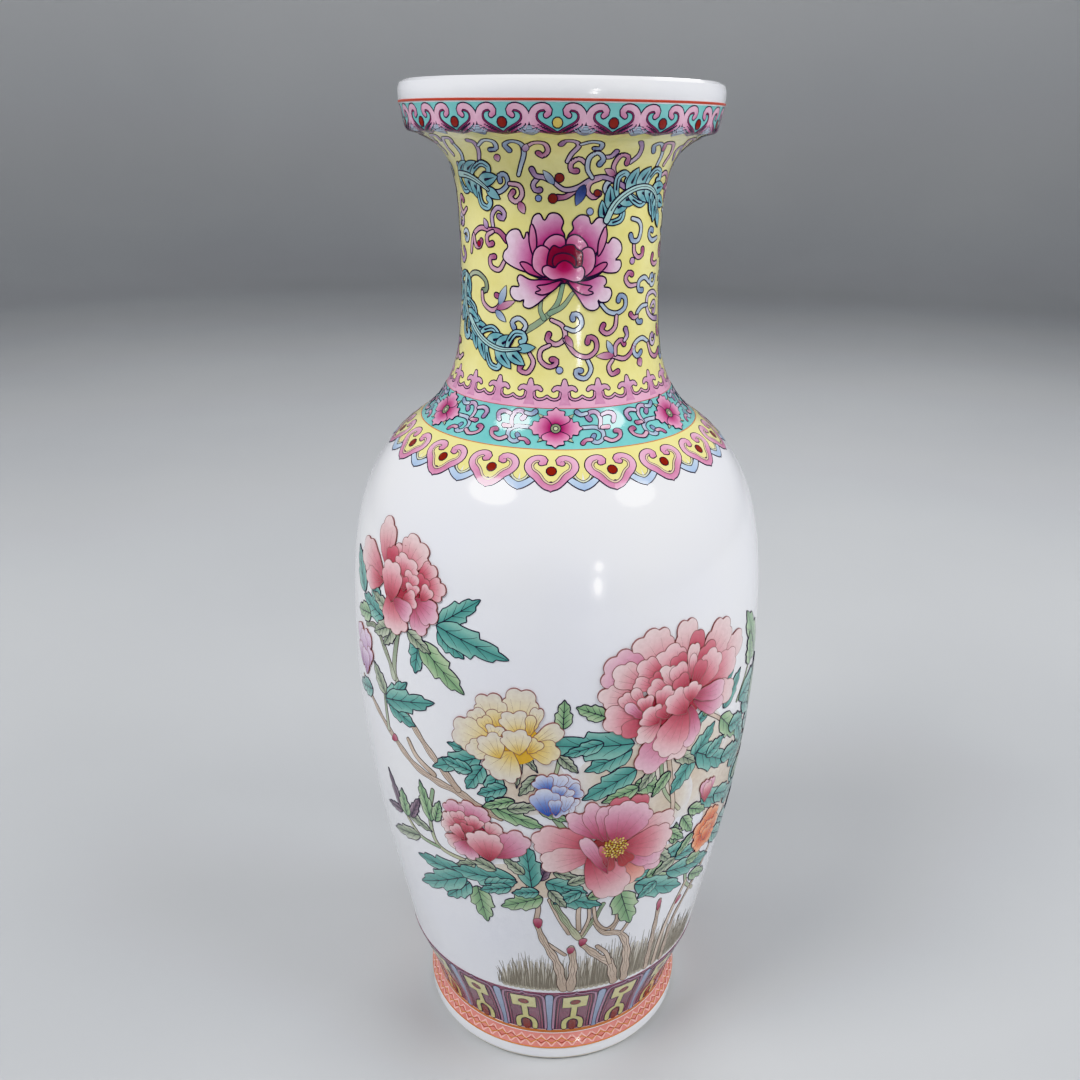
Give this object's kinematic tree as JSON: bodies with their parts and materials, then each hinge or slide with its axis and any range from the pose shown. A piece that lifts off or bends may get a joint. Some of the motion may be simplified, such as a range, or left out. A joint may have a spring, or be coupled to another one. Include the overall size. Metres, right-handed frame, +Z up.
{
  "type": "porcelain baluster vase",
  "caption": "Tall baluster vase with a dish mouth, painted bands on mouth, neck, shoulder and foot, and a peony garden round the white body.",
  "frame": {"origin": "centre of the foot's flat rim, on the surface the vase stands on", "axes": "+Z up along the vase's axis; -Y towards the viewer who sees the open peony"},
  "size_m": [0.1516, 0.1517, 0.36],
  "materials": {
    "bisque": "unglazed fired porcelain, matt",
    "slip": "fired luting slip, matt",
    "glaze": "clear glaze over white porcelain, slightly bluish, high gloss",
    "turquoise_enamel": "opaque turquoise ground enamel, gloss",
    "yellow_enamel": "opaque yellow ground enamel, gloss",
    "pink_enamel": "pink enamel shading to white, gloss",
    "rose_enamel": "rose enamel shading to white, gloss",
    "coral_enamel": "coral enamel with a fine diaper pattern, gloss",
    "iron_red_enamel": "thin iron red enamel, satin",
    "orange_enamel": "orange enamel, gloss",
    "maroon_enamel": "maroon enamel, gloss",
    "blue_enamel": "blue enamel shading to white, gloss",
    "lilac_enamel": "pale lilac enamel, gloss",
    "teal_enamel": "transparent teal green leaf enamel, gloss",
    "green_enamel": "pale green leaf enamel, gloss",
    "bark_enamel": "pale brown stem enamel, satin",
    "grass_enamel": "grey brown grass enamel, satin",
    "outline_enamel": "fine dark painted outline, satin"
  },
  "bodies": {
    "root": {"foot_ring": "bisque", "lower_body_section": "bisque", "upper_body_section": "bisque", "neck_section": "bisque", "mouth_section": "bisque", "slip_joint_foot": "slip", "slip_joint_belly": "slip", "slip_joint_neck": "slip", "slip_joint_mouth": "slip", "glaze_outer": "glaze", "glaze_inner": "glaze", "glaze_base": "glaze", "coral_foot_band": "coral_enamel", "foot_line": "orange_enamel", "lappet_band": "maroon_enamel", "ruyi_collar": "yellow_enamel", "shoulder_line": "orange_enamel", "turquoise_shoulder_band": "turquoise_enamel", "neck_line": "iron_red_enamel", "trefoil_border": "pink_enamel", "yellow_neck_ground": "yellow_enamel", "turquoise_mouth_band": "turquoise_enamel", "mouth_line": "iron_red_enamel", "peony_upper_left": "rose_enamel", "peony_yellow": "yellow_enamel", "peony_blue": "blue_enamel", "peony_right": "rose_enamel", "peony_open": "pink_enamel", "peony_lower_left": "rose_enamel", "flower_orange": "orange_enamel", "bud_lilac": "lilac_enamel", "neck_peony": "rose_enamel", "leaf_upper_left": "teal_enamel", "leaf_left": "teal_enamel", "leaf_lower_left": "green_enamel", "leaf_right": "teal_enamel", "leaf_lower_right": "green_enamel", "trunk": "bark_enamel", "grass": "grass_enamel"}
  },
  "joints": []
}
